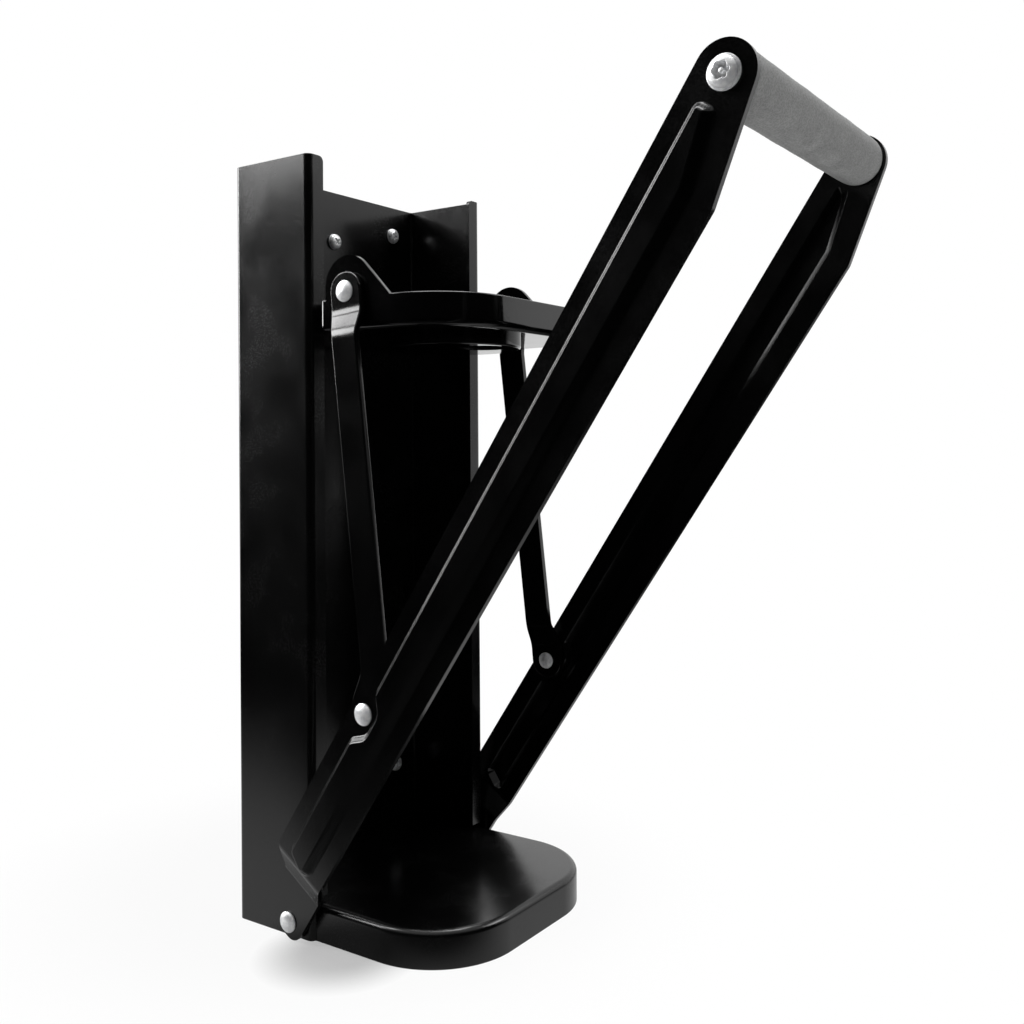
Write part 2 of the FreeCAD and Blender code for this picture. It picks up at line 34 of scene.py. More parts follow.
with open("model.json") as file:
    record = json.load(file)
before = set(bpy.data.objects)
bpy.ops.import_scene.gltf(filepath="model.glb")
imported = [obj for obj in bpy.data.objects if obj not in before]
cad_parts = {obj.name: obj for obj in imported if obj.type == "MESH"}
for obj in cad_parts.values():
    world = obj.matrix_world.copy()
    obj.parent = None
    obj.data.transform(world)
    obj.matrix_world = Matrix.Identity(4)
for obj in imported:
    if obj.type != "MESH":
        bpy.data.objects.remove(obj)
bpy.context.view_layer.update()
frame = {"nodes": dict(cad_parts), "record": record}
nodes = frame["nodes"]
record = frame["record"]
FOOT_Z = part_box("base_cap")[0].z
MM = 0.001
WHITE = (1, 1, 1, 1)


# ---------------------------------------------------------------- camera

# The camera was solved from the channel's edges in the photo. Angles are in radians.
IMAGE_SIDE = 1024
CAMERA_PLACE = Vector((-0.4049, -0.3900, 0.2127 + FOOT_Z))
CAMERA_YAW = 0.9647
CAMERA_ROLL = -0.0062
FOCAL_PIXELS = 1109.85
HORIZON_ROW = 446.9
SENSOR_MM = 36.0
CLIP_NEAR = 0.01
CLIP_FAR = 50
AHEAD = Vector((math.sin(CAMERA_YAW), math.cos(CAMERA_YAW), 0))


def add_camera():
    data = bpy.data.cameras.new("camera")
    data.sensor_width = SENSOR_MM
    data.lens = FOCAL_PIXELS / IMAGE_SIDE * SENSOR_MM
    data.shift_y = (HORIZON_ROW - IMAGE_SIDE / 2) / IMAGE_SIDE
    data.clip_start = CLIP_NEAR
    data.clip_end = CLIP_FAR
    camera = bpy.data.objects.new("camera", data)
    bpy.context.scene.collection.objects.link(camera)
    upright = Matrix.Rotation(-CAMERA_YAW, 4, "Z") @ Matrix.Rotation(math.pi / 2, 4, "X")
    roll = Matrix.Rotation(CAMERA_ROLL, 4, "Z")
    camera.matrix_world = Matrix.Translation(CAMERA_PLACE) @ upright @ roll
    bpy.context.scene.camera = camera


# ---------------------------------------------------------------- shader nodes

def add_node(tree, kind, settings=None, **inputs):
    """New shader node. Each input gets a value or a socket; i0, i1 ... name inputs by number."""
    node = tree.nodes.new(kind)
    for key, value in (settings or {}).items():
        setattr(node, key, value)
    for key, value in inputs.items():
        number = key[1:]
        socket = node.inputs[int(number) if number.isdigit() else key.replace("_", " ")]
        if isinstance(value, bpy.types.NodeSocket):
            tree.links.new(value, socket)
        else:
            socket.default_value = value
    return node


def calc(tree, operation, first, second):
    return add_node(tree, "ShaderNodeMath", {"operation": operation}, i0=first, i1=second).outputs[0]


def vector_calc(tree, operation, first, second=(0, 0, 0)):
    """Vector calculation whose result is a number, such as a length or a dot product."""
    node = add_node(tree, "ShaderNodeVectorMath", {"operation": operation}, i0=first, i1=second)
    return node.outputs["Value"]


def ramp(tree, value, low, high, start, end):
    """Smooth change from start, where value is low, to end, where it is high."""
    node = add_node(tree, "ShaderNodeMapRange", {"interpolation_type": "SMOOTHSTEP"},
                    Value=value, From_Min=low, From_Max=high, To_Min=start, To_Max=end)
    return node.outputs["Result"]


def noise(tree, coords, size, detail=2.0, roughness=0.5):
    """Noise whose lumps are about size metres across."""
    node = add_node(tree, "ShaderNodeTexNoise",
                    Vector=coords, Scale=1 / size, Detail=detail, Roughness=roughness)
    return node.outputs["Fac"]


def blend_colours(tree, first, second, share):
    node = add_node(tree, "ShaderNodeMix", {"data_type": "RGBA"},
                    Factor=share, i6=(*first, 1), i7=(*second, 1))
    return node.outputs[2]


def mix_shaders(tree, share, first, second):
    return add_node(tree, "ShaderNodeMixShader", i0=share, i1=first, i2=second).outputs[0]


def mirror_rays(tree, path):
    """True for the rays that gloss and glass send on."""
    return calc(tree, "MAXIMUM", path["Is Glossy Ray"], path["Is Transmission Ray"])


def new_material(name):
    material = bpy.data.materials.new(name)
    material.use_nodes = True
    tree = material.node_tree
    coords = add_node(tree, "ShaderNodeTexCoord").outputs["Object"]
    return material, tree, tree.nodes["Principled BSDF"], coords


def add_bump(tree, shader, height, depth, under=None):
    """Bump of depth metres on the shader, on top of the bump under."""
    node = add_node(tree, "ShaderNodeBump", Height=height, Distance=depth)
    if under is not None:
        tree.links.new(under, node.inputs["Normal"])
    tree.links.new(node.outputs["Normal"], shader.inputs["Normal"])
    return node.outputs["Normal"]


# ---------------------------------------------------------------- materials

# Noise values that a ramp runs between. Most values lie within the first two; the specks of the
# coat are the highest ones.
SLOW_RANGE = (0.35, 0.65)
FINE_RANGE = (0.3, 0.7)
SPECK_RANGE = (0.62, 0.78)
PORE_RANGE = (0.35, 0.85)

COAT_DARK = (0.8, 0.8, 0.84)
COAT_LIGHT = (1.25, 1.25, 1.3)
COAT_GRAIN_SIZE = 0.45 * MM
COAT_PEEL_SIZE = 2.6 * MM
COAT_PEEL_DEPTH = 0.004 * MM
COAT_PATCH_SIZE = 28 * MM
COAT_PATCH_SHARE = 0.6
COAT_SPECK_SHARE = 0.5
COAT_GRAIN_GLOSS = 0.05
COAT_PATCH_GLOSS = 0.03


def tinted(tone, tint):
    return [tone * part for part in tint]


def coat(name, tone, rough, grain_depth):
    """Black powder coat: fine grain, a slow orange-peel wave, and slow changes of gloss."""
    material, tree, shader, coords = new_material(name)
    fine = noise(tree, coords, COAT_GRAIN_SIZE, roughness=0.6)
    peel = noise(tree, coords, COAT_PEEL_SIZE, detail=1.0)
    slow = noise(tree, coords, COAT_PATCH_SIZE, detail=3.0)
    specks = ramp(tree, fine, *SPECK_RANGE, 0.0, COAT_SPECK_SHARE)
    share = calc(tree, "ADD", ramp(tree, slow, *SLOW_RANGE, 0.0, COAT_PATCH_SHARE), specks)
    colour = blend_colours(tree, tinted(tone, COAT_DARK), tinted(tone, COAT_LIGHT), share)
    tree.links.new(colour, shader.inputs["Base Color"])
    spread = ramp(tree, fine, *FINE_RANGE, -COAT_GRAIN_GLOSS, COAT_GRAIN_GLOSS)
    level = ramp(tree, slow, *SLOW_RANGE, rough - COAT_PATCH_GLOSS, rough + COAT_PATCH_GLOSS)
    tree.links.new(calc(tree, "ADD", spread, level), shader.inputs["Roughness"])
    under = add_bump(tree, shader, peel, COAT_PEEL_DEPTH)
    add_bump(tree, shader, fine, grain_depth, under)
    return material


ZINC_DARK = (0.8, 0.81, 0.83)
ZINC_LIGHT = (1.0, 1.0, 1.0)
ZINC_METALLIC = 0.5
ZINC_CLOUD_SIZE = 1.5 * MM
ZINC_PIT_SIZE = 0.35 * MM
ZINC_PIT_DEPTH = 0.012 * MM
ZINC_SHINIER = 0.06
ZINC_DULLER = 0.1


def zinc_plate(name, tone, rough):
    """Zinc-plated steel: cloudy plating, fine pits and a soft shine."""
    material, tree, shader, coords = new_material(name)
    shader.inputs["Metallic"].default_value = ZINC_METALLIC
    cloud = noise(tree, coords, ZINC_CLOUD_SIZE, detail=4.0, roughness=0.6)
    pits = noise(tree, coords, ZINC_PIT_SIZE)
    share = ramp(tree, cloud, *SLOW_RANGE, 0.0, 1.0)
    colour = blend_colours(tree, tinted(tone, ZINC_DARK), tinted(tone, ZINC_LIGHT), share)
    tree.links.new(colour, shader.inputs["Base Color"])
    level = ramp(tree, cloud, *FINE_RANGE, rough - ZINC_SHINIER, rough + ZINC_DULLER)
    tree.links.new(level, shader.inputs["Roughness"])
    add_bump(tree, shader, pits, ZINC_PIT_DEPTH)
    return material


FOAM_DARK = (0.165, 0.167, 0.167)
FOAM_LIGHT = (0.3, 0.302, 0.297)
FOAM_ROUGHNESS = (0.62, 0.8)
FOAM_SPECULAR = 0.35
FOAM_CELL_SIZE = 0.75 * MM
FOAM_FINE_SIZE = 0.8 * MM
FOAM_PATCH_SIZE = 11 * MM
FOAM_PORE_DEPTH = 0.1 * MM
FOAM_CELL_SHARE = 0.6
FOAM_FINE_SHARE = 0.7
FOAM_PORE_LIGHT = 0.7
FOAM_PATCH_LIGHT = 0.3


def foam(name):
    """Closed-cell foam rubber: matte, with fine pores and faint rubbed patches."""
    material, tree, shader, coords = new_material(name)
    cells = add_node(tree, "ShaderNodeTexVoronoi", Vector=coords, Scale=1 / FOAM_CELL_SIZE)
    fine = noise(tree, coords, FOAM_FINE_SIZE, detail=3.0, roughness=0.7)
    slow = noise(tree, coords, FOAM_PATCH_SIZE, detail=3.0)
    pores = calc(tree, "ADD", calc(tree, "MULTIPLY", cells.outputs["Distance"], FOAM_CELL_SHARE),
                 calc(tree, "MULTIPLY", fine, FOAM_FINE_SHARE))
    share = calc(tree, "ADD", ramp(tree, pores, *PORE_RANGE, 0.0, FOAM_PORE_LIGHT),
                 ramp(tree, slow, *SLOW_RANGE, 0.0, FOAM_PATCH_LIGHT))
    colour = blend_colours(tree, FOAM_DARK, FOAM_LIGHT, share)
    tree.links.new(colour, shader.inputs["Base Color"])
    level = ramp(tree, slow, *SLOW_RANGE, *FOAM_ROUGHNESS)
    tree.links.new(level, shader.inputs["Roughness"])
    shader.inputs["Specular IOR Level"].default_value = FOAM_SPECULAR
    add_bump(tree, shader, pores, FOAM_PORE_DEPTH)
    return material


PLASTIC_DARK = (0.8, 0.8, 0.8)
PLASTIC_LIGHT = (1.2, 1.2, 1.2)
PLASTIC_GRAIN_SIZE = 0.6 * MM
PLASTIC_GRAIN_DEPTH = 0.02 * MM
PLASTIC_PATCH_SIZE = 6 * MM
PLASTIC_GLOSS = 0.06


def moulded_plastic(name, tone, rough):
    """Dark moulded plastic: a fine grain and slow changes of colour."""
    material, tree, shader, coords = new_material(name)
    fine = noise(tree, coords, PLASTIC_GRAIN_SIZE)
    slow = noise(tree, coords, PLASTIC_PATCH_SIZE)
    colour = blend_colours(tree, tinted(tone, PLASTIC_DARK), tinted(tone, PLASTIC_LIGHT), slow)
    tree.links.new(colour, shader.inputs["Base Color"])
    level = ramp(tree, fine, *FINE_RANGE, rough - PLASTIC_GLOSS, rough + PLASTIC_GLOSS)
    tree.links.new(level, shader.inputs["Roughness"])
    add_bump(tree, shader, fine, PLASTIC_GRAIN_DEPTH)
    return material


MATERIALS = {
    "frame_coat": coat("frame_coat", tone=0.0014, rough=0.21, grain_depth=0.008 * MM),
    "arm_coat": coat("arm_coat", tone=0.001, rough=0.18, grain_depth=0.005 * MM),
    "link_coat": coat("link_coat", tone=0.001, rough=0.17, grain_depth=0.005 * MM),
    "ram_coat": coat("ram_coat", tone=0.001, rough=0.09, grain_depth=0.002 * MM),
    "foam": foam("foam"),
    "zinc": zinc_plate("zinc", tone=0.86, rough=0.36),
    "screw_steel": zinc_plate("screw_steel", tone=0.8, rough=0.3),
    "dark_plastic": moulded_plastic("dark_plastic", tone=0.006, rough=0.45),
}


# ---------------------------------------------------------------- light, floor and background

# Four numbers are a ramp: start and end of the value, and the light there.
# These two go by how far a direction points along AHEAD, and the next two by its height.
WORLD_WALL = (0.17, 0.38, 0.006, 1.0)
WORLD_SIDE = (-0.1, 0.2, 0.0, 1.0)
WORLD_SIDE_FOOT = (0.1, 0.23, 0.0, 1.0)
WORLD_CEILING = (0.4, 0.85, 0.0, 0.8)
WORLD_EVEN_LIGHT = 0.08


def add_world():
    """A white studio wall ahead, a dark room behind the camera, and an even light on matte surfaces."""
    world = bpy.data.worlds.new("world")
    bpy.context.scene.world = world
    world.use_nodes = True
    tree = world.node_tree
    tree.nodes.clear()
    direction = add_node(tree, "ShaderNodeTexCoord").outputs["Generated"]
    ahead = vector_calc(tree, "DOT_PRODUCT", direction, AHEAD)
    height = add_node(tree, "ShaderNodeSeparateXYZ", Vector=direction).outputs["Z"]
    wall = ramp(tree, ahead, *WORLD_WALL)
    side = calc(tree, "MULTIPLY", ramp(tree, ahead, *WORLD_SIDE), ramp(tree, height, *WORLD_SIDE_FOOT))
    ceiling = ramp(tree, height, *WORLD_CEILING)
    level = calc(tree, "MAXIMUM", calc(tree, "MAXIMUM", wall, side), ceiling)
    seen = add_node(tree, "ShaderNodeBackground", Color=WHITE, Strength=1.0).outputs[0]
    mirrored = add_node(tree, "ShaderNodeBackground", Color=WHITE, Strength=level).outputs[0]
    even = add_node(tree, "ShaderNodeBackground", Color=WHITE, Strength=WORLD_EVEN_LIGHT).outputs[0]
    path = add_node(tree, "ShaderNodeLightPath").outputs
    other = mix_shaders(tree, mirror_rays(tree, path), even, mirrored)
    both = mix_shaders(tree, path["Is Camera Ray"], other, seen)
    add_node(tree, "ShaderNodeOutputWorld", Surface=both)


FLOOR_HALF_SIDE = 6
FLOOR_GAP = 0.3 * MM
FLOOR_COLOUR = (0.8, 0.8, 0.8, 1)
FLOOR_ROUGHNESS = 0.9
PAINTED_SHADE_COLOUR = (0.2, 0.2, 0.2, 1)

# The painted shade is darkest on the floor at the foot's corner towards the camera.
SHADE_PLACE = (-0.063, -0.062, 0)

# Four numbers are a ramp again. How clear the floor is: by distance from the shade's place, and
# by distance from the middle of the foot. Where it is not clear, the camera sees the painted shade.
SHADE_CLEAR = (0.012, 0.042, 0.42, 1.0)
FOOT_CLEAR = (0.07, 0.2, 0.94, 1.0)

# How bright gloss sees the floor, with painted shade towards the camera and at the shade's place: by
# distance from the middle of the foot, and from the shade's place, and by the distance along AHEAD.
NEAR_LIGHT = (0.1, 0.5, 0.7, 0.004)
SHADE_LIGHT = (0.015, 0.05, 0.2, 1.0)
FRONT_LIGHT = (-0.13, -0.09, 0.08, 1.0)
WALL_LIGHT = (0.4, 1.0, 0.0, 1.0)


def add_floor():
    """Pale floor with a painted shadow near the foot, which clears to the white background away from the
    object.

    The handle swings down past the foot, so it shows through the clear floor. The shadow is painted: a
    thin dark layer that only the camera sees, on which the real shadow also falls.
    """
    mesh = bpy.data.meshes.new("floor")
    shape = bmesh.new()
    bmesh.ops.create_grid(shape, x_segments=1, y_segments=1, size=FLOOR_HALF_SIDE)
    shape.to_mesh(mesh)
    shape.free()
    floor = bpy.data.objects.new("floor", mesh)
    floor.location.z = FOOT_Z - FLOOR_GAP
    bpy.context.scene.collection.objects.link(floor)
    material, tree, shader, coords = new_material("floor")
    shader.inputs["Base Color"].default_value = FLOOR_COLOUR
    shader.inputs["Roughness"].default_value = FLOOR_ROUGHNESS
    reach = vector_calc(tree, "LENGTH", coords)
    corner = vector_calc(tree, "DISTANCE", coords, SHADE_PLACE)
    ahead = vector_calc(tree, "DOT_PRODUCT", coords, AHEAD)
    path = add_node(tree, "ShaderNodeLightPath").outputs

    open_floor = calc(tree, "MINIMUM", ramp(tree, corner, *SHADE_CLEAR), ramp(tree, reach, *FOOT_CLEAR))
    clear = calc(tree, "MULTIPLY", path["Is Camera Ray"], open_floor)
    clear = calc(tree, "MAXIMUM", clear, path["Is Shadow Ray"])
    through = add_node(tree, "ShaderNodeBsdfTransparent", Color=WHITE).outputs[0]
    # Painted shade: a dark layer that the camera sees where the floor is not clear.
    painted_shade_film = add_node(tree, "ShaderNodeBsdfDiffuse", Color=PAINTED_SHADE_COLOUR).outputs[0]
    solid = mix_shaders(tree, path["Is Camera Ray"], shader.outputs[0], painted_shade_film)
    seen = mix_shaders(tree, clear, solid, through)

    # Painted shade in the floor as gloss sees it: darker towards the camera and at the shade's place.
    painted_gloss_shade = calc(tree, "MULTIPLY", ramp(tree, ahead, *FRONT_LIGHT), ramp(tree, corner, *SHADE_LIGHT))
    near = calc(tree, "MULTIPLY", ramp(tree, reach, *NEAR_LIGHT), painted_gloss_shade)
    level = calc(tree, "MAXIMUM", near, ramp(tree, ahead, *WALL_LIGHT))
    mirrored = add_node(tree, "ShaderNodeEmission", Color=WHITE, Strength=level).outputs[0]
    both = mix_shaders(tree, mirror_rays(tree, path), seen, mirrored)
    tree.links.new(both, tree.nodes["Material Output"].inputs["Surface"])
    mesh.materials.append(material)


# Name, place, target, width, height, and power in watts.
LAMPS = (
    ("ceiling_lamp", (0.1, 0.0, 1.35), (0, -0.1, 0), 0.9, 0.9, 20),
    ("back_left_lamp", (-1.12, 1.3, 0.84), (0, -0.1, 0.1), 0.5, 0.45, 9),
    ("upper_left_lamp", (-0.75, 0.75, 1.15), (-0.05, -0.1, 0.1), 0.5, 0.5, 6),
    ("rim_lamp", (-0.5, 1.3, 0.6), (-0.05, -0.1, 0.0), 0.35, 1.1, 16),
    ("front_lamp", (0.85, -1.15, 0.95), (0, -0.15, 0.1), 0.9, 0.5, 8),
)


def add_lamp(name, place, target, width, height, power):
    data = bpy.data.lights.new(name, "AREA")
    data.shape = "RECTANGLE"
    data.size = width
    data.size_y = height
    data.energy = power
    lamp = bpy.data.objects.new(name, data)
    lamp.location = place
    lamp.rotation_euler = (Vector(target) - Vector(place)).to_track_quat("-Z", "Y").to_euler()
    lamp.visible_camera = False
    bpy.context.scene.collection.objects.link(lamp)


# ---------------------------------------------------------------- pieces

def body_of(name):
    bodies = record["behaviour"]["bodies"]
    return next(body for body, members in bodies.items() if name in members)


def slot_of(name):
    return next(part["material_slot"] for part in record["subparts"] if part["node"] == name)


def dress(piece, name):
    """Hang a new piece on the body of the CAD node it stands for, with that node's finish."""
    slot = slot_of(name)
    piece.data.materials.append(MATERIALS[slot])
    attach(piece, body_of(name))
    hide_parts(name)


def finish_piece(name, shape):
    mesh = bpy.data.meshes.new(name + "_shape")
    shape.to_mesh(mesh)
    shape.free()
    for face in mesh.polygons:
        face.use_smooth = True
    piece = bpy.data.objects.new(name + "_piece", mesh)
    bpy.context.scene.collection.objects.link(piece)
    weigh = piece.modifiers.new("weigh", "WEIGHTED_NORMAL")
    weigh.keep_sharp = True
    dress(piece, name)


# ---------------------------------------------------------------- sheet metal

# Faces that meet at the first angle or more have a cut edge between them, and those that meet at
# less, down to the second, a pressed corner. On a link the third takes the second's place.
CUT_EDGE_ANGLE = math.radians(62)
FORMED_EDGE_ANGLE = math.radians(24)
LINK_FOLD_ANGLE = math.radians(8)
FLAT_ANGLE = math.radians(0.3)
MERGE_DISTANCE = 0.002 * MM
MOST_SIDEWAYS = 0.5

# Widths of the rounding.
CUT_ROUND = 0.5 * MM
BAR_ROUND = 0.8 * MM
FORMED_ROUND = 1.9 * MM
LINK_FOLD_ROUND = 4.5 * MM
CUT_SEGMENTS = 2
FORMED_SEGMENTS = 4


def fold_angle(edge):
    return edge.calc_face_angle(0.0) if len(edge.link_faces) == 2 else 0.0


def across(edge):
    """True for an edge in the plane of the sheet, not one through its thickness."""
    start, end = (vert.co for vert in edge.verts)
    return abs(end.x - start.x) < MOST_SIDEWAYS * (end - start).length


def round_edges(shape, edges, width, segments):
    bmesh.ops.bevel(shape, geom=edges, offset=width, segments=segments, profile=0.5,
                    affect="EDGES", clamp_overlap=True)


def refined(name, cut_round, formed_round=0.0, least_fold=FORMED_EDGE_ANGLE):
    """The node's sheet metal again, with its cut edges and pressed corners rounded."""
    shape = bmesh.new()
    shape.from_mesh(nodes[name].data)
    bmesh.ops.remove_doubles(shape, verts=shape.verts, dist=MERGE_DISTANCE)
    bmesh.ops.dissolve_limit(shape, angle_limit=FLAT_ANGLE, verts=shape.verts, edges=shape.edges)
    if formed_round:
        formed = [e for e in shape.edges if across(e) and least_fold < fold_angle(e) < CUT_EDGE_ANGLE]
        round_edges(shape, formed, formed_round, FORMED_SEGMENTS)
    cut = [e for e in shape.edges if fold_angle(e) >= CUT_EDGE_ANGLE]
    round_edges(shape, cut, cut_round, CUT_SEGMENTS)
    finish_piece(name, shape)


# ---------------------------------------------------------------- turned pieces

TURN_STEPS = 96


def add_turned(shape, rings, place):
    """Closed surface through rings about the local Z axis.

    A ring is (radius, height), or a function that gives them at an angle.
    """
    loops = []
    for ring in rings:
        loop = []
        for step in range(TURN_STEPS):
            angle = 2 * math.pi * step / TURN_STEPS
            radius, height = ring(angle) if callable(ring) else ring
            point = Vector((radius * math.cos(angle), radius * math.sin(angle), height))
            loop.append(shape.verts.new(place @ point))
        loops.append(loop)
    for inner, outer in zip(loops, loops[1:]):
        for step in range(TURN_STEPS):
            ahead = (step + 1) % TURN_STEPS
            shape.faces.new((inner[step], outer[step], outer[ahead], inner[ahead]))
    shape.faces.new(loops[0])
    shape.faces.new(reversed(loops[-1]))


def aimed(point, direction):
    return Matrix.Translation(point) @ Vector(direction).to_track_quat("Z", "Y").to_matrix().to_4x4()


# Rings of a head, as shares. On the pin: of its radius and of its height. In the recess: of its
# outline, with shares of its depth over its floor, and then under the crown. On the crown: of the
# way to its rim. On the flange: of its width, and how many falls the ring lies under its top.
CROWN_POWER = 3
PIN_RINGS = ((0.1, 1.0), (0.8, 1.0), (1.0, 0.8), (1.05, 0.0))
RECESS_FLOOR_RINGS = ((0.72, 0.0), (0.80, 0.1))
RECESS_WALL_RINGS = ((0.93, 0.16), (0.97, 0.04))
CROWN_SHARES = (0.0, 0.04, 0.15, 0.3, 0.45, 0.6, 0.72, 0.82, 0.9, 0.95, 0.98, 0.995, 1.0)
FLANGE_RINGS = ((0.0, 0), (0.2, 1), (0.8, 2))
FLANGE_TOP_SHARE = 0.55
FLANGE_FOOT_SHARE = 0.25
FLANGE_FALL = 0.02 * MM
FLANGE_ROUND = 0.15 * MM


def head_rings(radius, flange, height, edge_share, recess, recess_depth, pin_radius, pin_height):
    """Rings of a rounded screw head, from the pin in its recess out and down to its flange and seat."""
    edge = height * edge_share
    floor = height - recess_depth

    def crown(distance):
        return edge + (height - edge) * math.sqrt(max(0.0, 1 - (distance / radius) ** CROWN_POWER))

    def over_floor(outline_share, depth_share):
        return lambda angle: (recess(angle) * outline_share, floor + depth_share * recess_depth)

    def under_crown(outline_share, depth_share):
        def ring(angle):
            return recess(angle) * outline_share, crown(recess(angle)) - depth_share * recess_depth
        return ring

    def on_crown(share):
        def ring(angle):
            distance = recess(angle) + (radius - recess(angle)) * share
            return distance, crown(distance)
        return ring

    rings = [(out * pin_radius, floor + up * pin_height) for out, up in PIN_RINGS]
    rings += [over_floor(*shares) for shares in RECESS_FLOOR_RINGS]
    rings += [under_crown(*shares) for shares in RECESS_WALL_RINGS]
    rings += [on_crown(share) for share in CROWN_SHARES]
    top = edge * FLANGE_TOP_SHARE
    shelf = flange - radius
    rings += [(radius + share * shelf, top - falls * FLANGE_FALL) for share, falls in FLANGE_RINGS]
    rings += [(flange, top - FLANGE_ROUND), (flange, top * FLANGE_FOOT_SHARE)]
    rings += [(flange - FLANGE_ROUND, 0.0)]
    return rings


RINGS_PER_PITCH = 8
TIP_SHARE = 0.25


def thread_rings(radius, start, end, pitch, depth, point):
    """Rings of a threaded shank along -Z, with a blunt tapered point."""
    count = int((start - end) / pitch * RINGS_PER_PITCH)
    rings = []
    for step in range(count + 1):
        height = start + (end - start) * step / count
        taper = min(1.0, TIP_SHARE + (1 - TIP_SHARE) * (height - end) / point)

        def ring(angle, height=height, taper=taper):
            phase = (height / pitch + angle / (2 * math.pi)) % 1.0
            groove = abs(2 * phase - 1)
            return radius * taper - depth * groove * taper, height
        rings.append(ring)
    return rings


def lobed(radius, swing, lobes):
    """Outline of a lobed recess."""
    return lambda angle: radius + swing * math.cos(lobes * angle)


LEAST_SINE = 1e-6


def crossed(reach, half_width):
    """Outline of a cross recess."""
    def outline(angle):
        turn = (angle + math.pi / 4) % (math.pi / 2) - math.pi / 4
        return min(reach / math.cos(turn), half_width / max(abs(math.sin(turn)), LEAST_SINE))
    return outline


BOLT_HEAD_RADIUS = 6.1 * MM
BOLT_CROWN_RADIUS = 5.4 * MM
BOLT_HEAD_HEIGHT = 3.6 * MM
BOLT_EDGE_SHARE = 0.42
BOLT_RECESS = lobed(radius=3.0 * MM, swing=0.3 * MM, lobes=6)
BOLT_RECESS_DEPTH = 2.2 * MM
BOLT_PIN_RADIUS = 0.95 * MM
BOLT_PIN_HEIGHT = 1.7 * MM
BOLT_RADIUS = 3.0 * MM
BOLT_COLLAR_RADIUS = 3.09 * MM
BOLT_COLLAR_HEIGHT = 0.2 * MM
BOLT_PLAIN_SHARE = 0.4
BOLT_THREAD_START = 0.42
BOLT_PITCH = 1.0 * MM
BOLT_THREAD_DEPTH = 0.35 * MM
BOLT_POINT_LENGTH = 1.5 * MM


def grip_bolt(name, outward):
    """Domed flange bolt with a six-lobed recess, its axis along X."""
    low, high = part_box(name)
    tip_x = low.x if outward < 0 else high.x
    inner_x = high.x if outward < 0 else low.x
    seat = Vector((tip_x - outward * BOLT_HEAD_HEIGHT, (low.y + high.y) / 2, (low.z + high.z) / 2))
    length = abs(inner_x - seat.x)
    rings = head_rings(BOLT_CROWN_RADIUS, BOLT_HEAD_RADIUS, BOLT_HEAD_HEIGHT, BOLT_EDGE_SHARE,
                       BOLT_RECESS, BOLT_RECESS_DEPTH, BOLT_PIN_RADIUS, BOLT_PIN_HEIGHT)
    rings += [(BOLT_COLLAR_RADIUS, 0.0), (BOLT_RADIUS, -BOLT_COLLAR_HEIGHT)]
    rings += [(BOLT_RADIUS, -length * BOLT_PLAIN_SHARE)]
    rings += thread_rings(BOLT_RADIUS, -length * BOLT_THREAD_START, -length,
                          BOLT_PITCH, BOLT_THREAD_DEPTH, BOLT_POINT_LENGTH)
    shape = bmesh.new()
    add_turned(shape, rings, aimed(seat, (outward, 0, 0)))
    finish_piece(name, shape)


SCREW_HEAD_RADIUS = 3.9 * MM
SCREW_CROWN_RADIUS = 3.75 * MM
SCREW_HEAD_HEIGHT = 2.6 * MM
SCREW_EDGE_SHARE = 0.4
SCREW_RECESS = crossed(reach=2.1 * MM, half_width=0.55 * MM)
SCREW_RECESS_DEPTH = 1.3 * MM
SCREW_PIN_RADIUS = 0.2 * MM
SCREW_PIN_HEIGHT = 0.01 * MM
SCREW_NECK_RADIUS = 2.3 * MM
SCREW_NECK_LENGTH = 2.4 * MM
SCREW_THREAD_START = 1.05
SCREW_RADIUS = 2.1 * MM
SCREW_PITCH = 1.4 * MM
SCREW_THREAD_DEPTH = 0.4 * MM
SCREW_POINT_LENGTH = 3.0 * MM

# How far the cross of each screw is turned, in degrees.
LEFT_SCREW_TURN = 20
CENTRE_SCREW_TURN = 40
RIGHT_SCREW_TURN = 65


def wall_screws(name, places):
    """Pan-head wood screws with a cross recess, their heads to the front."""
    low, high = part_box(name)
    seat_y = low.y + SCREW_HEAD_HEIGHT
    length = high.y - seat_y
    shape = bmesh.new()
    for x, z, turn in places:
        rings = head_rings(SCREW_CROWN_RADIUS, SCREW_HEAD_RADIUS, SCREW_HEAD_HEIGHT, SCREW_EDGE_SHARE,
                           SCREW_RECESS, SCREW_RECESS_DEPTH, SCREW_PIN_RADIUS, SCREW_PIN_HEIGHT)
        rings += [(SCREW_NECK_RADIUS, 0.0), (SCREW_NECK_RADIUS, -SCREW_NECK_LENGTH)]
        rings += thread_rings(SCREW_RADIUS, -SCREW_NECK_LENGTH * SCREW_THREAD_START, -length,
                              SCREW_PITCH, SCREW_THREAD_DEPTH, SCREW_POINT_LENGTH)
        spin = Matrix.Rotation(math.radians(turn), 4, "Z")
        add_turned(shape, rings, aimed((x, seat_y, z), (0, -1, 0)) @ spin)
    finish_piece(name, shape)


def screw_pair(name, end):
    """Places of the two screws at one end of a wall-screw node."""
    low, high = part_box(name)
    z = high.z - SCREW_HEAD_RADIUS if end == "top" else low.z + SCREW_HEAD_RADIUS
    left = (low.x + SCREW_HEAD_RADIUS, z, LEFT_SCREW_TURN)
    right = (high.x - SCREW_HEAD_RADIUS, z, RIGHT_SCREW_TURN)
    return [left, right]


SLEEVE_BORE = 7.02 * MM
SLEEVE_EDGE_ROUND = 1.6 * MM
SLEEVE_EDGE_STEPS = 6
SLEEVE_MOUTH = 0.6 * MM
SLEEVE_MOUTH_DEPTH = 0.1 * MM
SLEEVE_RINGS = 120
SLEEVE_SKIN = 0.25 * MM
SLEEVE_PINCH_LENGTH = 6 * MM

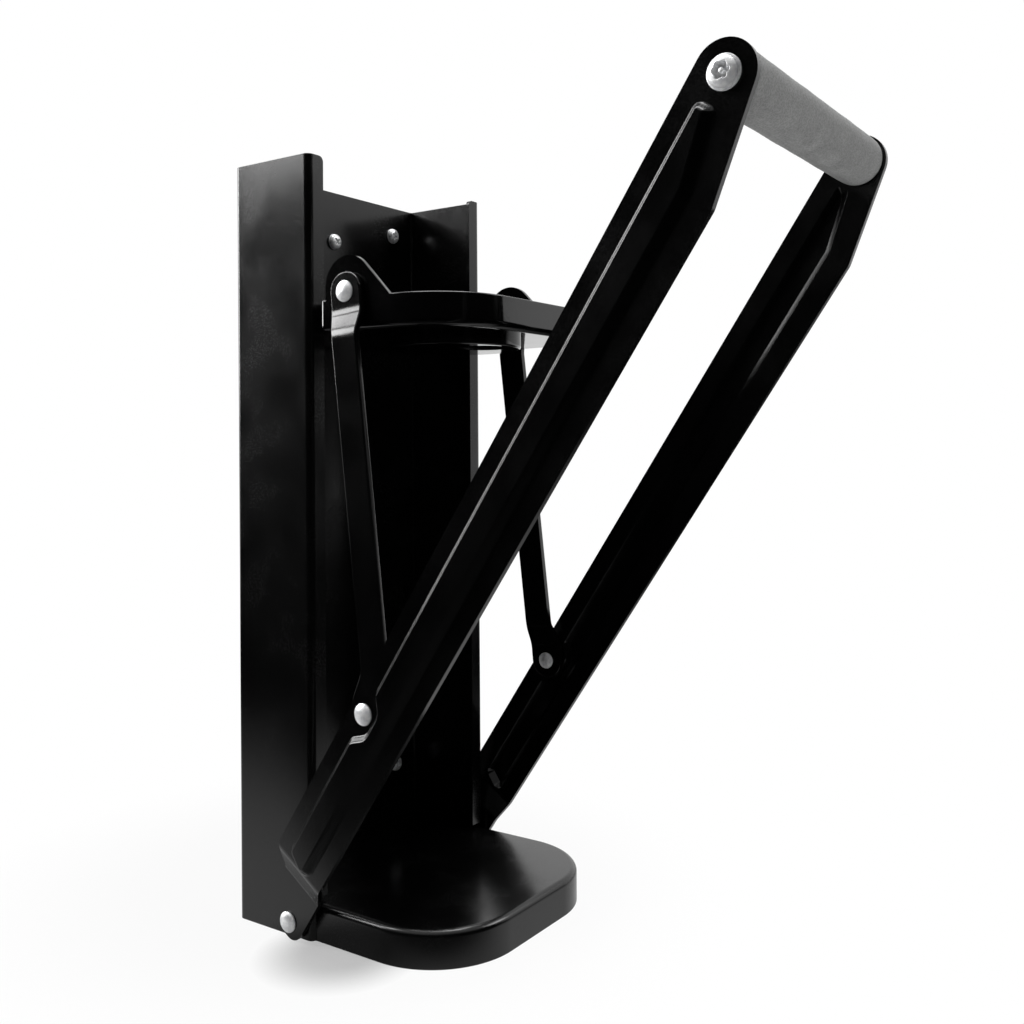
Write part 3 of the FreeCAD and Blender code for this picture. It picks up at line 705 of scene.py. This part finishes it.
# Waves of the foam's skin: radians per metre along the sleeve, and lobes around it.
DENT_WAVE = 210
DENT_PHASE = 1.3
DENT_TWIST = 60
DENT_LOBES = 2
RIPPLE_WAVE = 900
RIPPLE_WAVE_LOBES = 5
RIPPLE_TWIST = 500
RIPPLE_TWIST_LOBES = 7
SKIN_LEVEL = 0.55
DENT_SHARE = 0.3
RIPPLE_SHARE = 0.15


def skin_level(height, angle):
    """How far the foam's uneven skin stands out, from 0 to 1."""
    dent = math.sin(height * DENT_WAVE + DENT_PHASE) * math.cos(DENT_LOBES * angle + height * DENT_TWIST)
    ripple = (math.sin(height * RIPPLE_WAVE + RIPPLE_WAVE_LOBES * angle)
              * math.sin(RIPPLE_TWIST_LOBES * angle - height * RIPPLE_TWIST))
    return SKIN_LEVEL + DENT_SHARE * dent + RIPPLE_SHARE * ripple


def grip_sleeve():
    """Foam tube, a little uneven, with rounded and slightly pinched ends."""
    low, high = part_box("grip_sleeve")
    centre = (low + high) / 2
    radius = (high.y - low.y) / 2
    half = (high.x - low.x) / 2
    inner = radius - SLEEVE_EDGE_ROUND
    left_end = [
        (SLEEVE_BORE, -half + SLEEVE_MOUTH),
        (SLEEVE_BORE + SLEEVE_MOUTH, -half + SLEEVE_MOUTH_DEPTH),
        (inner - SLEEVE_MOUTH, -half),
    ]
    for step in range(SLEEVE_EDGE_STEPS + 1):
        turn = math.pi / 2 * step / SLEEVE_EDGE_STEPS
        left_end.append((inner + SLEEVE_EDGE_ROUND * math.sin(turn) - SLEEVE_SKIN,
                         -half + SLEEVE_EDGE_ROUND - SLEEVE_EDGE_ROUND * math.cos(turn)))
    right_end = [(ring_radius, -height) for ring_radius, height in reversed(left_end)]
    rings = []
    for step in range(1, SLEEVE_RINGS):
        height = -half + SLEEVE_EDGE_ROUND + (2 * half - 2 * SLEEVE_EDGE_ROUND) * step / SLEEVE_RINGS

        def ring(angle, height=height):
            rise = min(1.0, (half - abs(height)) / SLEEVE_PINCH_LENGTH)
            return radius - SLEEVE_SKIN + SLEEVE_SKIN * rise * skin_level(height, angle), height
        rings.append(ring)
    shape = bmesh.new()
    add_turned(shape, left_end + rings + right_end, aimed(centre, (1, 0, 0)))
    finish_piece("grip_sleeve", shape)


# ---------------------------------------------------------------- scene

for node_name, node in nodes.items():
    node.data.materials.clear()
    node.data.materials.append(MATERIALS[slot_of(node_name)])

for node_name in ("frame_channel", "base_cap", "ram_plate"):
    refined(node_name, CUT_ROUND)
for node_name in ("link_left", "link_right"):
    refined(node_name, BAR_ROUND, LINK_FOLD_ROUND, LINK_FOLD_ANGLE)
for node_name in ("arm_left", "arm_right"):
    refined(node_name, BAR_ROUND, FORMED_ROUND)

grip_bolt("grip_bolt_left", -1)
grip_bolt("grip_bolt_right", 1)
grip_sleeve()
top_low, top_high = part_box("wall_screws_top")
centre_screw = ((top_low.x + top_high.x) / 2, top_low.z + SCREW_HEAD_RADIUS, CENTRE_SCREW_TURN)
wall_screws("wall_screws_top", screw_pair("wall_screws_top", "top") + [centre_screw])
wall_screws("wall_screws_bottom", screw_pair("wall_screws_bottom", "bottom"))

add_camera()
add_world()
add_floor()
for lamp_row in LAMPS:
    add_lamp(*lamp_row)

bpy.context.scene.view_settings.view_transform = "Standard"
